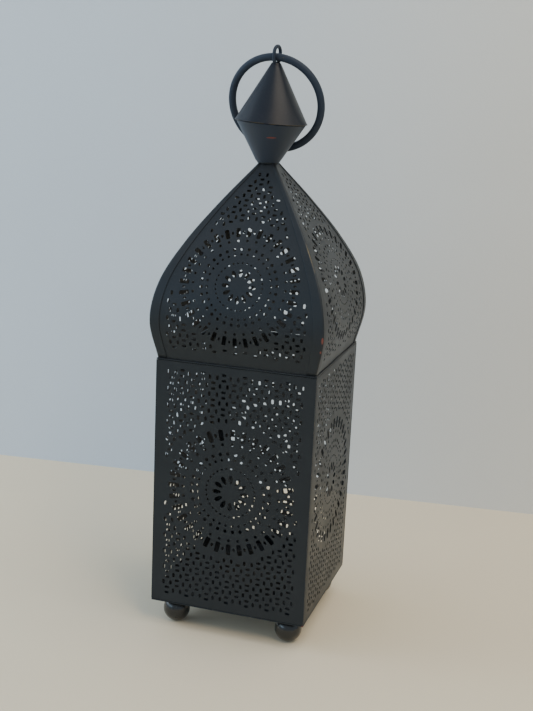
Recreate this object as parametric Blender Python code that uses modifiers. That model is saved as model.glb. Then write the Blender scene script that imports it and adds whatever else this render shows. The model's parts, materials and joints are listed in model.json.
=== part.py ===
"""A square metal lantern with an onion dome, a double-cone finial and a carrying ring.

Sheet steel, soldered and riveted. The lantern stands on four ball feet. Its front faces -Y and
its door opens at the back, +Y. Metres, +Z up, origin on the floor under the middle of the body.
"""

import math

import bmesh
import bpy
from mathutils import Matrix, Vector

# Sheet metal
SHEET = 0.0006
PLATE = 0.0008
GAP = 0.0003  # solder line between two touching pieces
RUNNING = 0.00005  # clearance round a hinge pin

# Ball feet
FOOT_RADIUS = 0.0089
FOOT_PAD = 0.0012  # radius of the worn flat underneath
FOOT_SEAT = 0.0020  # radius of the flat soldered to the pan
FOOT_CENTRE = 0.0392  # distance of a foot from each middle plane

# Body
BODY_HALF = 0.0525
BODY_HEIGHT = 0.1662
UPSTAND_HALF = 0.0504
UPSTAND_HEIGHT = 0.0060
RETURN_FRONT = 0.0065
RETURN_REAR = 0.0051
COLLAR_OPENING = 0.0440

# Dome: half width at each height above the collar
DOME_HEIGHT = 0.1215
DOME_SHAPE = ((0.0, 0.0520), (0.0245, 0.0565), (0.0490, 0.0523), (0.0730, 0.0404),
              (0.0970, 0.0243), (DOME_HEIGHT, 0.0056))
DOME_ROWS = 18
SIDE_SETBACK = 0.0013  # the side panels stop behind the front and back ones
STRIP_LEG = 0.0013
STRIP_LEG_GROWTH = 0.095  # share of the half width added to a strip's leg
STRIP_BEND = 0.0011
STRIP_BEND_STEPS = 3

# Finial, measured up its own axis from the top of the dome
FINIAL_LEAN = math.radians(2.7)
FINIAL_SHIFT = -0.0010
CONE_SHEET = 0.0006
CONE_NECK = 0.0076
CONE_NECK_Z = 0.0010
CONE_RIM_Z = 0.0257
LOWER_RIM = 0.0221
UPPER_RIM = 0.0230
UPPER_TIP = 0.0036
UPPER_TIP_Z = 0.0608
ROUND_STEPS = 48

# Hanger wire and the washer it opens out under
WIRE = 0.0011
LEG_SPREAD = 0.0013
EYE_RADIUS = 0.0039
EYE_CENTRE_Z = 0.0681
EYE_TURN = math.radians(-12.0)
WASHER_RADIUS = 0.0078
WASHER_HOLE = 0.0028
WASHER_Z = -0.0092

# Carrying ring
RING_RADIUS = 0.0295
RING_WIRE = 0.0024
RING_PIVOT_Z = 0.0655
RING_LEAN = math.radians(15.0)

# Candle cup
CUP_RADIUS = 0.0240
CUP_HEIGHT = 0.0120
CUP_HOLE = 0.0017
CUP_SINK = 0.0010  # the hole is countersunk, so the rivet's head lies flush
CUP_RIVET = 0.0014

# Door at the back, its hinges and its turn button
OPENING_HALF = 0.0397
OPENING_MARGIN = 0.0120
DOOR_LAP = 0.0030
HINGE_X = -0.0445
BARREL = 0.0015
PIN = 0.00075
LEAF_HALF = 0.0110
KNUCKLE_HALF = 0.0037
FRAME_LEAF_END = -0.0520
DOOR_LEAF_END = -0.0355
HINGE_DROP = 0.0400  # hinges above and below the door's middle
RIVET = 0.0008
RIVET_HOLE = 0.0011
RIVET_HEAD = 0.0014
FRAME_RIVET_X = -0.0490
FRAME_RIVET_Z = 0.0075
DOOR_RIVET_X = -0.0377
DOOR_RIVET_Z = 0.0040
KNOB_X = 0.0300
KNOB_RADIUS = 0.0035
BUTTON_X = 0.0475
BUTTON_REACH = 0.0110
BUTTON_HALF = 0.0024

# Levels that follow from the sizes above
FOOT_LOW = math.sqrt(FOOT_RADIUS**2 - FOOT_PAD**2)
FOOT_HIGH = math.sqrt(FOOT_RADIUS**2 - FOOT_SEAT**2)
PAN_Z = FOOT_LOW + FOOT_HIGH + GAP
BODY_TOP = PAN_Z + BODY_HEIGHT
WALL_Z = (PAN_Z + PLATE + GAP, BODY_TOP - PLATE - GAP)
DOME_Z = BODY_TOP + GAP
FINIAL_Z = DOME_Z + DOME_HEIGHT
MIDDLE_Z = (WALL_Z[0] + WALL_Z[1]) / 2
OPENING_Z = (WALL_Z[0] + OPENING_MARGIN, WALL_Z[1] - OPENING_MARGIN)
FRAME_FACE = BODY_HALF
DOOR_INNER = FRAME_FACE + GAP
DOOR_OUTER = DOOR_INNER + SHEET
HINGE_Y = DOOR_OUTER + 0.0010
DOOR_HALF = OPENING_HALF + DOOR_LAP


# ---------------------------------------------------------------- helpers


def new_collection(name):
    group = bpy.data.collections.new(name)
    bpy.context.scene.collection.children.link(group)
    return group


def metal(name, colour, roughness, metallic):
    """A Principled material with one plain metal or paint finish."""
    material = bpy.data.materials.new(name)
    material.use_nodes = True
    shader = material.node_tree.nodes["Principled BSDF"]
    shader.inputs["Base Color"].default_value = (*colour, 1.0)
    shader.inputs["Roughness"].default_value = roughness
    shader.inputs["Metallic"].default_value = metallic
    return material


def place(name, mesh, finish, group=None):
    """Puts a mesh in the scene as a named part with its own copy of a finish."""
    obj = bpy.data.objects.new(name, mesh)
    (group or PARTS).objects.link(obj)
    if finish:
        own = finish.copy()
        own.name = f"{name}_{finish.name}"
        mesh.materials.append(own)
    return obj


def box_mesh(name, low, high):
    """A box between two corners."""
    low, high = Vector(low), Vector(high)
    size = high - low
    bm = bmesh.new()
    bmesh.ops.create_cube(
        bm, size=1.0, matrix=Matrix.Translation((low + high) / 2) @ Matrix.Diagonal((*size, 1.0)))
    mesh = bpy.data.meshes.new(name)
    bm.to_mesh(mesh)
    bm.free()
    return mesh


def profile_mesh(name, points, closed):
    """A line of points joined one to the next, and the last to the first if closed."""
    mesh = bpy.data.meshes.new(name)
    edges = [(i, i + 1) for i in range(len(points) - 1)]
    if closed:
        edges.append((len(points) - 1, 0))
    mesh.from_pydata(points, edges, [])
    return mesh


def add_screw(obj, steps, smooth):
    turn = obj.modifiers.new("Turn", "SCREW")
    turn.axis = "Z"
    turn.steps = steps
    turn.render_steps = steps
    turn.use_merge_vertices = True
    turn.merge_threshold = 0.00001
    turn.use_smooth_shade = smooth
    return turn


def turned(name, profile, finish, steps=ROUND_STEPS, closed=False):
    """A round piece from (radius, height) points, listed down its outer side."""
    points = [(radius, 0.0, height) for radius, height in profile]
    obj = place(name, profile_mesh(name, points, closed), finish)
    add_screw(obj, steps, True)
    return obj


def square_turned(name, profile, finish, closed=False):
    """A square piece from (half width, height) points, listed down its outer side."""
    points = [(half, half, height) for half, height in profile]
    obj = place(name, profile_mesh(name, points, closed), finish)
    add_screw(obj, 4, False)
    return obj


def cylinder_mesh(name, radius, low, high, segments):
    """An upright cylinder about the origin's vertical, from height low to high."""
    bm = bmesh.new()
    bmesh.ops.create_cone(
        bm, cap_ends=True, segments=segments, radius1=radius, radius2=radius,
        depth=high - low, matrix=Matrix.Translation((0, 0, (low + high) / 2)))
    mesh = bpy.data.meshes.new(name)
    bm.to_mesh(mesh)
    bm.free()
    return mesh


def cutter(name, mesh, location=(0, 0, 0), along_y=False):
    """A hidden body that a Boolean takes away or adds."""
    obj = place(name, mesh, None, CUTTERS)
    obj.location = location
    if along_y:
        obj.rotation_euler.x = -math.pi / 2
    obj.hide_render = True
    obj.display_type = "WIRE"
    return obj


def boolean(obj, other, operation="DIFFERENCE"):
    step = obj.modifiers.new(f"{operation.title()} {other.name}", "BOOLEAN")
    step.operation = operation
    step.solver = "EXACT"
    step.object = other


def sheet(obj, thickness=SHEET):
    """Gives an open surface its thickness, on the side its faces look away from."""
    wall = obj.modifiers.new("Sheet", "SOLIDIFY")
    wall.thickness = thickness
    wall.offset = -1.0
    wall.use_even_offset = True


def loft(name, rows, finish):
    """An open surface through rows of points, each row above the last."""
    bm = bmesh.new()
    lines = [[bm.verts.new(point) for point in row] for row in rows]
    for below, above in zip(lines, lines[1:]):
        for i in range(len(below) - 1):
            bm.faces.new((below[i], below[i + 1], above[i + 1], above[i]))
    mesh = bpy.data.meshes.new(name)
    bm.to_mesh(mesh)
    bm.free()
    return place(name, mesh, finish)


def smooth_through(points, steps):
    """Points on a smooth curve that passes through every given point."""
    ends = [2 * points[0] - points[1], *points, 2 * points[-1] - points[-2]]
    path = []
    for i in range(1, len(ends) - 2):
        a, b, c, d = ends[i - 1:i + 3]
        for step in range(steps):
            t = step / steps
            path.append(0.5 * (2 * b + (c - a) * t + (2 * a - 5 * b + 4 * c - d) * t**2
                               + (3 * b - a - 3 * c + d) * t**3))
    return [*path, points[-1]]


def wire(name, points, radius, finish):
    """A round wire along a list of points."""
    curve = bpy.data.curves.new(name, "CURVE")
    curve.dimensions = "3D"
    curve.bevel_depth = radius
    curve.bevel_resolution = 2
    curve.use_fill_caps = True
    spline = curve.splines.new("POLY")
    spline.points.add(len(points) - 1)
    for knot, point in zip(spline.points, points):
        knot.co = (*point, 1.0)
    return place(name, curve, finish)


# ---------------------------------------------------------------- feet and body


def ball_foot(name, side, end):
    """A ball with a small flat underneath and another where it meets the pan."""
    high = math.asin(FOOT_HIGH / FOOT_RADIUS)
    low = -math.asin(FOOT_LOW / FOOT_RADIUS)
    steps = 12
    arc = [(0.0, FOOT_LOW + FOOT_HIGH)]
    for i in range(steps + 1):
        angle = high + (low - high) * i / steps
        arc.append((FOOT_RADIUS * math.cos(angle), FOOT_LOW + FOOT_RADIUS * math.sin(angle)))
    arc.append((0.0, 0.0))
    foot = turned(name, arc, BLACK, 24)
    foot.location = (side * FOOT_CENTRE, end * FOOT_CENTRE, 0)


def base_pan():
    """The floor, a square plate with an upstand that the walls are soldered round."""
    top = PAN_Z + PLATE
    rim = top + UPSTAND_HEIGHT
    inner = UPSTAND_HALF - SHEET
    pan = square_turned("base_pan", [
        (0, top), (inner, top), (inner, rim), (UPSTAND_HALF, rim), (UPSTAND_HALF, top),
        (BODY_HALF, top), (BODY_HALF, PAN_Z), (0, PAN_Z)], BLACK)
    hole = cylinder_mesh("pan_hole", CUP_HOLE, PAN_Z - PLATE, top + PLATE, 16)
    boolean(pan, cutter("pan_hole", hole))


def top_collar():
    """The square ring that closes the walls at the top and carries the dome."""
    under = BODY_TOP - PLATE
    skirt = under - UPSTAND_HEIGHT
    inner = UPSTAND_HALF - SHEET
    square_turned("top_collar", [
        (COLLAR_OPENING, BODY_TOP), (BODY_HALF, BODY_TOP), (BODY_HALF, under),
        (UPSTAND_HALF, under), (UPSTAND_HALF, skirt), (inner, skirt), (inner, under),
        (COLLAR_OPENING, under)], BLACK, closed=True)


def front_panel():
    place("front_panel", box_mesh("front_panel", (-BODY_HALF, -BODY_HALF, WALL_Z[0]),
                                  (BODY_HALF, SHEET - BODY_HALF, WALL_Z[1])), BLACK)


def side_panel(name, side):
    """A side wall whose upright edges fold inwards behind the front panel and the back frame."""
    front = -(BODY_HALF - SHEET - GAP)
    rear = -front
    line = [(side * (BODY_HALF - RETURN_FRONT), front), (side * BODY_HALF, front),
            (side * BODY_HALF, rear), (side * (BODY_HALF - RETURN_REAR), rear)]
    if side < 0:
        line.reverse()
    panel = loft(name, [[(x, y, z) for x, y in line] for z in WALL_Z], BLACK)
    sheet(panel)
    return panel


def back_frame():
    """The fixed frame round the door opening."""
    frame = place("back_frame", box_mesh("back_frame", (-BODY_HALF, FRAME_FACE - SHEET, WALL_Z[0]),
                                         (BODY_HALF, FRAME_FACE, WALL_Z[1])), BLACK)
    hole = box_mesh("door_opening", (-OPENING_HALF, FRAME_FACE - 0.01, OPENING_Z[0]),
                    (OPENING_HALF, FRAME_FACE + 0.01, OPENING_Z[1]))
    boolean(frame, cutter("door_opening", hole))
    return frame


# ---------------------------------------------------------------- dome


def dome_half_width(height):
    """Half the dome's width at a height above the collar, on a smooth curve."""
    knots = [Vector(knot) for knot in DOME_SHAPE]
    path = smooth_through(knots, 40)
    for below, above in zip(path, path[1:]):
        if height <= above.x:
            share = (height - below.x) / (above.x - below.x)
            return below.y + (above.y - below.y) * share
    return path[-1].y


def dome_outline(inset):
    """(half width, height) up the dome, moved inwards square to the surface."""
    step = 0.0005
    outline = []
    for i in range(DOME_ROWS + 1):
        height = DOME_HEIGHT * i / DOME_ROWS
        low, high = max(height - step, 0.0), min(height + step, DOME_HEIGHT)
        slope = (dome_half_width(high) - dome_half_width(low)) / (high - low)
        square = Vector((1.0, -slope)).normalized() * inset
        outline.append((dome_half_width(height) - square.x, DOME_Z + height - square.y))
    return outline


def dome_panel(name, quarter):
    """One curved sheet of the dome, turned by quarters from the front."""
    setback = SIDE_SETBACK if quarter % 2 else 0.0
    rows = []
    for half, z in dome_outline(SHEET + GAP):
        rows.append([(setback - half, -half, z), (half - setback, -half, z)])
    panel = loft(name, rows, BLACK)
    panel.data.transform(Matrix.Rotation(quarter * math.pi / 2, 4, "Z"))
    panel.data.shade_smooth()
    sheet(panel)


def ridge_strip(name, quarter):
    """The folded strip over one ridge of the dome. Its legs narrow towards the top."""
    rows = []
    for half, z in dome_outline(0.0):
        leg = STRIP_LEG + STRIP_LEG_GROWTH * half
        row = [(half - leg, -half, z)]
        for i in range(STRIP_BEND_STEPS + 1):
            angle = math.pi / 2 * (i / STRIP_BEND_STEPS - 1)
            row.append((half - STRIP_BEND + STRIP_BEND * math.cos(angle),
                        STRIP_BEND - half + STRIP_BEND * math.sin(angle), z))
        row.append((half, leg - half, z))
        rows.append(row)
    strip = loft(name, rows, BLACK)
    strip.data.transform(Matrix.Rotation(quarter * math.pi / 2, 4, "Z"))
    strip.data.shade_smooth()
    sheet(strip)


# ---------------------------------------------------------------- finial, hanger and ring


def finial_axis():
    """The empty that the finial stands on, at the top of the dome and leaning to the right."""
    axis = bpy.data.objects.new("finial_axis", None)
    PARTS.objects.link(axis)
    axis.location = (FINIAL_SHIFT, 0, FINIAL_Z)
    axis.rotation_euler.y = FINIAL_LEAN
    return axis


def lower_cone(axis):
    cone = turned("lower_cone", [
        (LOWER_RIM, CONE_RIM_Z - GAP), (CONE_NECK, CONE_NECK_Z),
        (CONE_NECK - CONE_SHEET, CONE_NECK_Z), (LOWER_RIM - CONE_SHEET, CONE_RIM_Z - GAP)],
        BLACK, closed=True)
    cone.parent = axis


def upper_cone(axis):
    cone = turned("upper_cone", [
        (UPPER_TIP, UPPER_TIP_Z), (UPPER_RIM, CONE_RIM_Z),
        (UPPER_RIM - CONE_SHEET, CONE_RIM_Z), (UPPER_TIP - CONE_SHEET, UPPER_TIP_Z)],
        BLACK, closed=True)
    cone.parent = axis


def hanger_half():
    """(offset, height) down one half of the hanger, from the eye to its opened end."""
    eye = []
    for i in range(5):
        angle = math.pi / 2 * (1 - i / 5)
        eye.append((EYE_RADIUS * math.cos(angle), EYE_CENTRE_Z + EYE_RADIUS * math.sin(angle)))
    shoulder = [(EYE_RADIUS, EYE_CENTRE_Z), (EYE_RADIUS, RING_PIVOT_Z),
                (0.92 * EYE_RADIUS, RING_PIVOT_Z - 0.0016), (0.66 * EYE_RADIUS, RING_PIVOT_Z - 0.0030),
                (0.38 * EYE_RADIUS, RING_PIVOT_Z - 0.0039), (LEG_SPREAD, UPPER_TIP_Z - 0.0004)]
    foot = [(LEG_SPREAD, 0.03), (LEG_SPREAD, WASHER_Z), (1.1 * LEG_SPREAD, WASHER_Z - 0.0016),
            (2.0 * LEG_SPREAD, WASHER_Z - 0.0027), (0.0044, WASHER_Z - 0.0030),
            (0.0074, WASHER_Z - 0.0031)]
    return eye + shoulder + foot


def hanger_wire(axis):
    """One wire bent into an eye, its legs down the finial and opened out under the washer."""
    half = hanger_half()
    points = [(-x, z) for x, z in reversed(half[1:])] + half
    across = Vector((math.sin(EYE_TURN), -math.cos(EYE_TURN), 0))
    wire("hanger_wire", [across * x + Vector((0, 0, z)) for x, z in points], WIRE, BLACK).parent = axis


def apex_washer(axis):
    """The washer under the dome's top that takes the lantern's weight when it hangs."""
    top = WASHER_Z + PLATE
    washer = turned("apex_washer", [
        (WASHER_HOLE, top), (WASHER_RADIUS, top), (WASHER_RADIUS, WASHER_Z),
        (WASHER_HOLE, WASHER_Z)], STEEL, 24, closed=True)
    washer.parent = axis


def carry_ring():
    """The ring through the eye. Its origin is where it turns, and it rests against the finial."""
    bpy.ops.mesh.primitive_torus_add(
        major_segments=56, minor_segments=10, major_radius=RING_RADIUS, minor_radius=RING_WIRE)
    made = bpy.context.object
    mesh = made.data
    bpy.data.objects.remove(made)
    mesh.name = "carry_ring"
    mesh.transform(Matrix.Translation((0, 0, -RING_RADIUS)) @ Matrix.Rotation(math.pi / 2, 4, "X"))
    mesh.shade_smooth()
    ring = place("carry_ring", mesh, BLACK)
    ring.location = (FINIAL_SHIFT + RING_PIVOT_Z * math.sin(FINIAL_LEAN), 0,
                     FINIAL_Z + RING_PIVOT_Z * math.cos(FINIAL_LEAN))
    ring.rotation_euler = (RING_LEAN, FINIAL_LEAN, 0)


# ---------------------------------------------------------------- candle cup


def candle_cup():
    """The low cup for a candle, open at the top, held by a flush rivet."""
    low = PAN_Z + PLATE + GAP
    floor = low + SHEET
    rim = low + CUP_HEIGHT
    inner = CUP_RADIUS - SHEET
    turned("candle_cup", [
        (CUP_HOLE + CUP_SINK, floor), (inner, floor), (inner, rim), (CUP_RADIUS, rim),
        (CUP_RADIUS, low), (CUP_HOLE, low)], TIN, closed=True)
    tail = PAN_Z - GAP
    turned("cup_rivet", [
        (0, floor), (CUP_RIVET + CUP_SINK, floor), (CUP_RIVET, low), (CUP_RIVET, tail),
        (0.0023, tail), (0.0015, tail - 0.0007), (0, tail - 0.0009)], STEEL, 16)


# ---------------------------------------------------------------- door


def hinge_levels():
    return {"lower": MIDDLE_Z - HINGE_DROP, "upper": MIDDLE_Z + HINGE_DROP}


def leaf(name, plate, tabs, knuckles, z):
    """A flat leaf with its rolled knuckles, bored for the pin."""
    obj = place(name, box_mesh(name, *plate), BLACK)
    for i, tab in enumerate(tabs):
        boolean(obj, cutter(f"{name}_tab_{i}", box_mesh("tab", *tab)), "UNION")
    for i, (low, high) in enumerate(knuckles):
        barrel = cylinder_mesh("knuckle", BARREL, z + low, z + high, 20)
        boolean(obj, cutter(f"{name}_knuckle_{i}", barrel, (HINGE_X, HINGE_Y, 0)), "UNION")
    bore = cylinder_mesh("bore", PIN + RUNNING, z - 2 * LEAF_HALF, z + 2 * LEAF_HALF, 16)
    boolean(obj, cutter(f"{name}_bore", bore, (HINGE_X, HINGE_Y, 0)))
    return obj


def frame_leaf(level, z):
    """The fixed leaf, on the frame, with the two outer knuckles."""
    low, high = DOOR_INNER, DOOR_INNER + SHEET
    clear = HINGE_X - BARREL - GAP
    spans = ((-LEAF_HALF, -KNUCKLE_HALF - GAP), (KNUCKLE_HALF + GAP, LEAF_HALF))
    tabs = [((clear - GAP, low, z + a), (HINGE_X, high, z + b)) for a, b in spans]
    plate = ((FRAME_LEAF_END, low, z - LEAF_HALF), (clear, high, z + LEAF_HALF))
    return leaf(f"hinge_leaf_frame_{level}", plate, tabs, spans, z)


def door_leaf(level, z):
    """The moving leaf, on the door's outer face, with the middle knuckle."""
    low, high = DOOR_OUTER + GAP, DOOR_OUTER + GAP + SHEET
    clear = HINGE_X + BARREL + GAP
    span = (-KNUCKLE_HALF, KNUCKLE_HALF)
    tab = ((HINGE_X, low, z + span[0]), (clear + GAP, high, z + span[1]))
    plate = ((clear, low, z - LEAF_HALF), (DOOR_LEAF_END, high, z + LEAF_HALF))
    return leaf(f"hinge_leaf_door_{level}", plate, [tab], [span], z)


def hinge_pin(level, z):
    head = z + LEAF_HALF + GAP
    pin = turned(f"hinge_pin_{level}", [
        (0, head + 0.0007), (0.0009, head + 0.0006), (0.0013, head), (PIN, head),
        (PIN, z - LEAF_HALF - GAP), (0, z - LEAF_HALF - GAP)], STEEL, 16)
    pin.location = (HINGE_X, HINGE_Y, 0)


def rivet(name, x, z, outer, inner, shank, head):
    """A rivet along Y: its head on the face at outer, its tail behind the face at inner."""
    tip = outer + GAP
    tail = inner - GAP
    piece = turned(name, [
        (0, tip + 0.0005), (0.6 * head, tip + 0.0004), (head, tip), (shank, tip),
        (shank, tail), (0.9 * head, tail), (0.5 * head, tail - 0.0004), (0, tail - 0.0005)],
        STEEL, 12)
    piece.rotation_euler.x = -math.pi / 2
    piece.location = (x, 0, z)


def drill(name, x, z, pieces):
    """One hole along Y through every piece in the list."""
    tool = cutter(name, cylinder_mesh(name, RIVET_HOLE, FRAME_FACE - 0.005, FRAME_FACE + 0.005, 12),
                  (x, 0, z), along_y=True)
    for piece in pieces:
        boolean(piece, tool)


def door(frame, left):
    """The door sheet, its two hinges with their pins and rivets, and its knob."""
    lap = (OPENING_Z[0] - DOOR_LAP, OPENING_Z[1] + DOOR_LAP)
    panel = place("door_panel", box_mesh("door_panel", (-DOOR_HALF, DOOR_INNER, lap[0]),
                                         (DOOR_HALF, DOOR_OUTER, lap[1])), BLACK)
    for level, z in hinge_levels().items():
        fixed = frame_leaf(level, z)
        moving = door_leaf(level, z)
        hinge_pin(level, z)
        for end, sign in (("low", -1), ("high", 1)):
            frame_z = z + sign * FRAME_RIVET_Z
            door_z = z + sign * DOOR_RIVET_Z
            drill(f"frame_hole_{level}_{end}", FRAME_RIVET_X, frame_z, [fixed, frame, left])
            drill(f"door_hole_{level}_{end}", DOOR_RIVET_X, door_z, [moving, panel])
            rivet(f"frame_rivet_{level}_{end}", FRAME_RIVET_X, frame_z, DOOR_INNER + SHEET,
                  FRAME_FACE - 2 * SHEET - GAP, RIVET, RIVET_HEAD)
            rivet(f"door_rivet_{level}_{end}", DOOR_RIVET_X, door_z, DOOR_OUTER + GAP + SHEET,
                  DOOR_INNER, RIVET, RIVET_HEAD)
    drill("knob_hole", KNOB_X, MIDDLE_Z, [panel])
    door_knob()


def door_knob():
    """The low round knob on the door, riveted through the sheet."""
    seat = DOOR_OUTER + GAP
    tail = DOOR_INNER - GAP
    knob = turned("door_knob", [
        (0, seat + 0.0024), (0.6 * KNOB_RADIUS, seat + 0.0021), (KNOB_RADIUS, seat + 0.0012),
        (0.85 * KNOB_RADIUS, seat + 0.0005), (0.6 * KNOB_RADIUS, seat), (RIVET, seat),
        (RIVET, tail), (RIVET_HEAD, tail), (0, tail - 0.0005)], STEEL, 20)
    knob.rotation_euler.x = -math.pi / 2
    knob.location = (KNOB_X, 0, MIDDLE_Z)


def turn_button(frame, right):
    """The button that hangs on the frame, and turns over the door's edge to hold it shut."""
    low = DOOR_OUTER + GAP
    curve = bpy.data.curves.new("turn_button", "CURVE")
    curve.dimensions = "2D"
    curve.fill_mode = "BOTH"
    curve.extrude = PLATE / 2
    line = []
    for i in range(9):
        angle = math.pi * i / 8
        line.append((BUTTON_HALF * math.cos(angle), BUTTON_HALF * math.sin(angle)))
    for i in range(9):
        angle = math.pi * (1 + i / 8)
        line.append((0.8 * BUTTON_HALF * math.cos(angle),
                     0.8 * BUTTON_HALF * math.sin(angle) - BUTTON_REACH))
    spline = curve.splines.new("POLY")
    spline.points.add(len(line) - 1)
    for knot, (x, y) in zip(spline.points, line):
        knot.co = (x, y, 0, 1)
    spline.use_cyclic_u = True
    guide = place("button_outline", curve, None, CUTTERS)
    bpy.context.view_layer.update()
    mesh = bpy.data.meshes.new_from_object(
        guide.evaluated_get(bpy.context.evaluated_depsgraph_get()))
    bpy.data.objects.remove(guide)
    bm = bmesh.new()
    bm.from_mesh(mesh)
    bmesh.ops.remove_doubles(bm, verts=bm.verts, dist=1e-6)
    bmesh.ops.recalc_face_normals(bm, faces=bm.faces)
    bm.to_mesh(mesh)
    bm.free()
    mesh.name = "turn_button"
    mesh.materials.clear()
    mesh.transform(Matrix.Rotation(math.pi / 2, 4, "X"))
    button = place("turn_button", mesh, BLACK)
    button.location = (BUTTON_X, low + PLATE / 2, MIDDLE_Z)
    washer = turned("button_washer", [
        (RIVET_HOLE, DOOR_OUTER), (0.9 * BUTTON_HALF, DOOR_OUTER),
        (0.9 * BUTTON_HALF, DOOR_INNER), (RIVET_HOLE, DOOR_INNER)], STEEL, 16, closed=True)
    washer.rotation_euler.x = -math.pi / 2
    washer.location = (BUTTON_X, 0, MIDDLE_Z)
    drill("button_hole", BUTTON_X, MIDDLE_Z, [frame, right, button])
    rivet("button_rivet", BUTTON_X, MIDDLE_Z, low + PLATE, FRAME_FACE - 2 * SHEET - GAP,
          RIVET, RIVET_HEAD)


# ---------------------------------------------------------------- assembly


for old in list(bpy.data.objects):
    bpy.data.objects.remove(old)
PARTS = new_collection("moroccan_lantern")
CUTTERS = new_collection("cutters")
BLACK = metal("black_paint", (0.018, 0.021, 0.025), 0.42, 0.35)
STEEL = metal("dark_steel", (0.09, 0.09, 0.095), 0.45, 0.9)
TIN = metal("tinned_steel", (0.30, 0.30, 0.29), 0.4, 0.9)

for foot_name, foot_side, foot_end in (
        ("foot_front_left", -1, -1), ("foot_front_right", 1, -1),
        ("foot_rear_left", -1, 1), ("foot_rear_right", 1, 1)):
    ball_foot(foot_name, foot_side, foot_end)
base_pan()
front_panel()
left_panel = side_panel("left_panel", -1)
right_panel = side_panel("right_panel", 1)
door_frame = back_frame()
top_collar()
for turn_index, facing in enumerate(("front", "right", "back", "left")):
    dome_panel(f"dome_panel_{facing}", turn_index)
for turn_index, corner in enumerate(("front_right", "rear_right", "rear_left", "front_left")):
    ridge_strip(f"ridge_strip_{corner}", turn_index)
finial = finial_axis()
lower_cone(finial)
upper_cone(finial)
hanger_wire(finial)
apex_washer(finial)
carry_ring()
candle_cup()
door(door_frame, left_panel)
turn_button(door_frame, right_panel)
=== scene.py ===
"""Looks for a pierced sheet-steel lantern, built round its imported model.

The lantern is a square box on four ball feet, under an onion dome of four sheets, with a finial of
two cones and a carrying ring. Everything is in metres in the model's own frame: +Z is up, -Y is the
front and +X is the right. Each sheet is punched flat, thickened, and then folded or bowed.
"""

import json
import logging
import math
from bisect import bisect_right
from collections.abc import Callable, Iterable, Iterator
from dataclasses import dataclass, field, replace
from enum import Enum
from functools import cache, cached_property

import bmesh
import bpy
from bmesh import ops
from bmesh.types import BMEdge, BMesh, BMFace, BMVert
from bpy.types import Material, Node, NodeSocket, NodeTree, Object
from mathutils import Matrix, Vector


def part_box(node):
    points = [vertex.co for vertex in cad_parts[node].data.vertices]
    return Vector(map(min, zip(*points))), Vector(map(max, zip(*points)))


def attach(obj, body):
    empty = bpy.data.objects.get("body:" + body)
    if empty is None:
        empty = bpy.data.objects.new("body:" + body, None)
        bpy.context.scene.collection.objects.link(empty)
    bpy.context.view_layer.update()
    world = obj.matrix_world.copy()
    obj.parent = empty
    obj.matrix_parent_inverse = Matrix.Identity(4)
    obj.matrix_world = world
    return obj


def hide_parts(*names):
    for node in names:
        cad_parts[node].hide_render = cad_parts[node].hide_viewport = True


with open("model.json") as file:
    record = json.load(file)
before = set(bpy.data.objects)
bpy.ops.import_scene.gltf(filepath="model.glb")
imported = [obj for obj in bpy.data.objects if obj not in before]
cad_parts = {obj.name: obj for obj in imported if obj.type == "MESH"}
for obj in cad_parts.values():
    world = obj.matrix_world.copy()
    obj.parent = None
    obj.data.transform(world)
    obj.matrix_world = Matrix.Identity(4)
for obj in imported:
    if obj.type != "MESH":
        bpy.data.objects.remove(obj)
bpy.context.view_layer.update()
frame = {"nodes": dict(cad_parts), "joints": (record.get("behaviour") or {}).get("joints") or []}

LOG = logging.getLogger("lantern")

Colour = tuple[float, float, float]
Point = tuple[float, float, float]
Flat = tuple[float, float]
Placing = Callable[[float, float, float], Vector]

SHEET = 0.0006
SKIN = 0.00028
SOLDER_GAP = 0.0003
RIVET_HOLE = 0.0022
HINGE_DROP = 0.0400
FINIAL_LEAN = math.radians(2.7)
CREASE = math.radians(32.0)
QUARTER = math.pi / 2
DUST = (0.30, 0.28, 0.25)


class Rider(Enum):
    """The moving bodies of the lantern."""

    LANTERN = "lantern"
    DOOR = "door"
    BUTTON = "button"
    RING = "ring"


class Slot(Enum):
    """The material slots that the record names."""

    SATIN = "black_satin"
    GLOSS = "black_gloss"
    IRON = "black_iron"
    STEEL = "dark_steel"
    TIN = "tinned_steel"


class Punch(Enum):
    """Punch shapes: a round or oval dot, a slot with chamfered ends, a bar, a petal."""

    DOT = "dot"
    SLOT = "slot"
    BAR = "bar"
    PETAL = "petal"


class Facing(Enum):
    """The four sides, by how many quarter turns each is from the front."""

    FRONT = 0
    RIGHT = 1
    BACK = 2
    LEFT = 3


# ------------------------------------------------------------------ shader tools


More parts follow.
